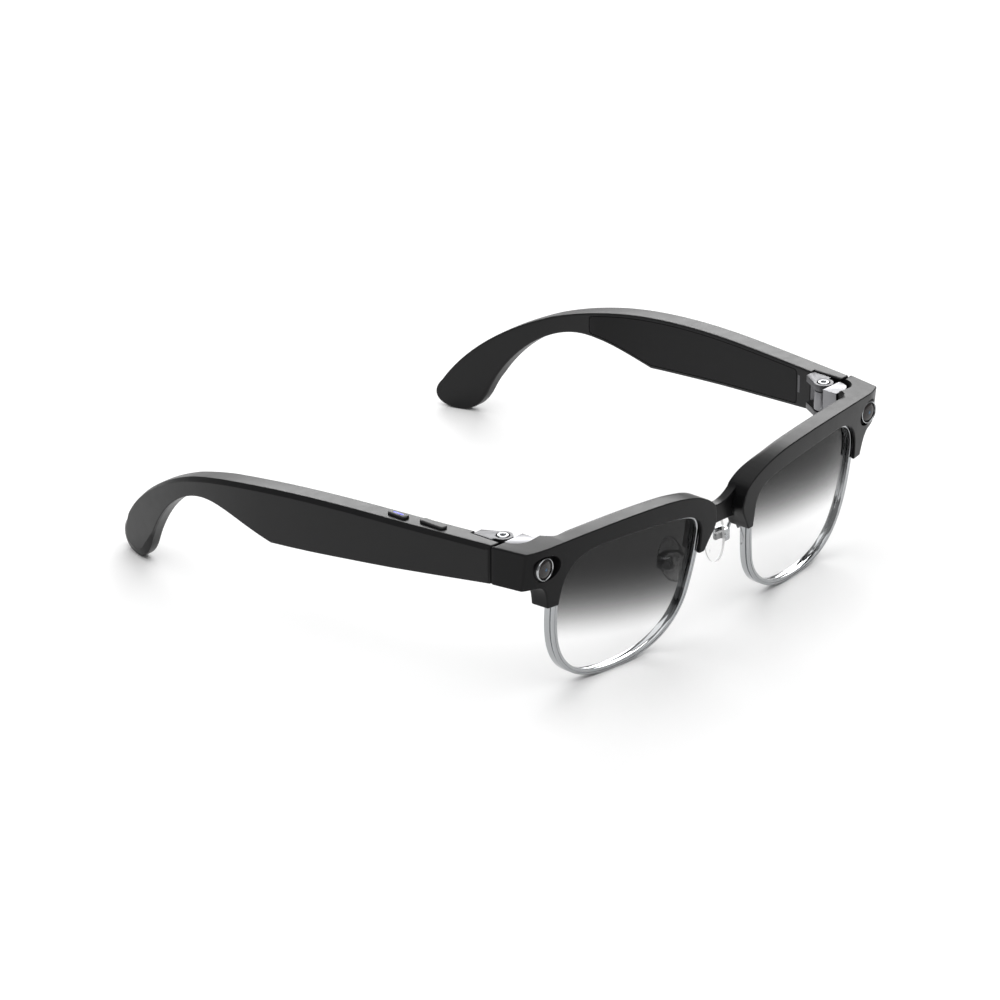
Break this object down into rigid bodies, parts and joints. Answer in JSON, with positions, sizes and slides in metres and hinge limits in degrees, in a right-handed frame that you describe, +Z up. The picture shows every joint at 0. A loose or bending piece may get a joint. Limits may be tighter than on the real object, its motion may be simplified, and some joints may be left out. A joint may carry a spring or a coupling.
{
  "type": "smart glasses",
  "caption": "Browline smart glasses with a camera at each end of the brow, full metal eyewires, gradient lenses, rocking nose pads and folding electronic temples",
  "frame": {"origin": "centre of the bounding box in X and Y, on the surface that the glasses stand on in Z", "axes": "+X is the wearer's left, the front of the glasses looks along -Y and the temples run back along +Y, +Z is up"},
  "size_m": [0.1612, 0.1576, 0.0451],
  "materials": {
    "frame_black": "satin black moulded plastic",
    "temple_black": "satin black moulded plastic",
    "cover_black": "fine matt black",
    "chrome": "polished",
    "steel": "satin",
    "lens_grey": "grey tint at the top fading to clear",
    "pad_clear": "clear silicone",
    "camera_glass": "coated dark glass",
    "board_green": "circuit board",
    "cell_foil": "foil pouch",
    "gold": "gold plated",
    "flex_copper": "polyimide flex",
    "light_blue": "translucent blue"
  },
  "bodies": {
    "front": {"front_frame": "frame_black", "front_flex_cable": "flex_copper", "eyewire_left": "chrome", "eyewire_right": "chrome", "lens_left": "lens_grey", "lens_right": "lens_grey", "eyewire_screw_outer_left": "steel", "eyewire_screw_outer_right": "steel", "eyewire_screw_inner_left": "steel", "eyewire_screw_inner_right": "steel", "camera_barrel_left": "frame_black", "camera_barrel_right": "frame_black", "camera_ring_left": "chrome", "camera_ring_right": "chrome", "camera_glass_left": "camera_glass", "camera_glass_right": "camera_glass", "camera_board_left": "board_green", "camera_board_right": "board_green", "pad_arm_left": "chrome", "pad_arm_right": "chrome", "pad_screw_left": "steel", "pad_screw_right": "steel", "hinge_block_left": "steel", "hinge_block_right": "steel"},
    "temple_left": {"hinge_leaf_left": "steel", "hinge_screw_left": "chrome", "temple_housing_left": "temple_black", "temple_cover_left": "cover_black", "temple_board_left": "board_green", "battery_left": "cell_foil", "speaker_left": "steel", "microphone": "gold"},
    "temple_right": {"hinge_leaf_right": "steel", "hinge_screw_right": "chrome", "temple_housing_right": "temple_black", "temple_cover_right": "cover_black", "temple_board_right": "board_green", "battery_right": "cell_foil", "speaker_right": "steel", "power_button_switch": "steel", "volume_button_switch": "steel", "charging_contact_1": "gold", "charging_contact_2": "gold"},
    "power_button": {"power_button": "frame_black", "status_light": "light_blue"},
    "volume_button": {"volume_button": "frame_black"},
    "nose_pad_left": {"nose_pad_left": "pad_clear"},
    "nose_pad_right": {"nose_pad_right": "pad_clear"}
  },
  "joints": [
    {"name": "left_temple_fold", "type": "hinge", "parent": "front", "child": "temple_left", "pos_m": [0.0659, -0.0562, 0.038], "axis": [0, 0, 1], "range_deg": [0, 92]},
    {"name": "right_temple_fold", "type": "hinge", "parent": "front", "child": "temple_right", "pos_m": [-0.0659, -0.0562, 0.038], "axis": [0, 0, -1], "range_deg": [0, 85]},
    {"name": "power_button_press", "type": "slide", "parent": "temple_right", "child": "power_button", "axis": [0, 0, -1], "range_m": [0, 0.0004], "stiffness_N_per_m": 600},
    {"name": "volume_button_press", "type": "slide", "parent": "temple_right", "child": "volume_button", "axis": [0, 0, -1], "range_m": [0, 0.0004], "stiffness_N_per_m": 600},
    {"name": "left_pad_rock", "type": "hinge", "parent": "front", "child": "nose_pad_left", "pos_m": [0.0116, -0.065, 0.0196], "axis": [0, 1, 0], "range_deg": [-6, 6]},
    {"name": "right_pad_rock", "type": "hinge", "parent": "front", "child": "nose_pad_right", "pos_m": [-0.0116, -0.065, 0.0196], "axis": [0, 1, 0], "range_deg": [-6, 6]}
  ]
}
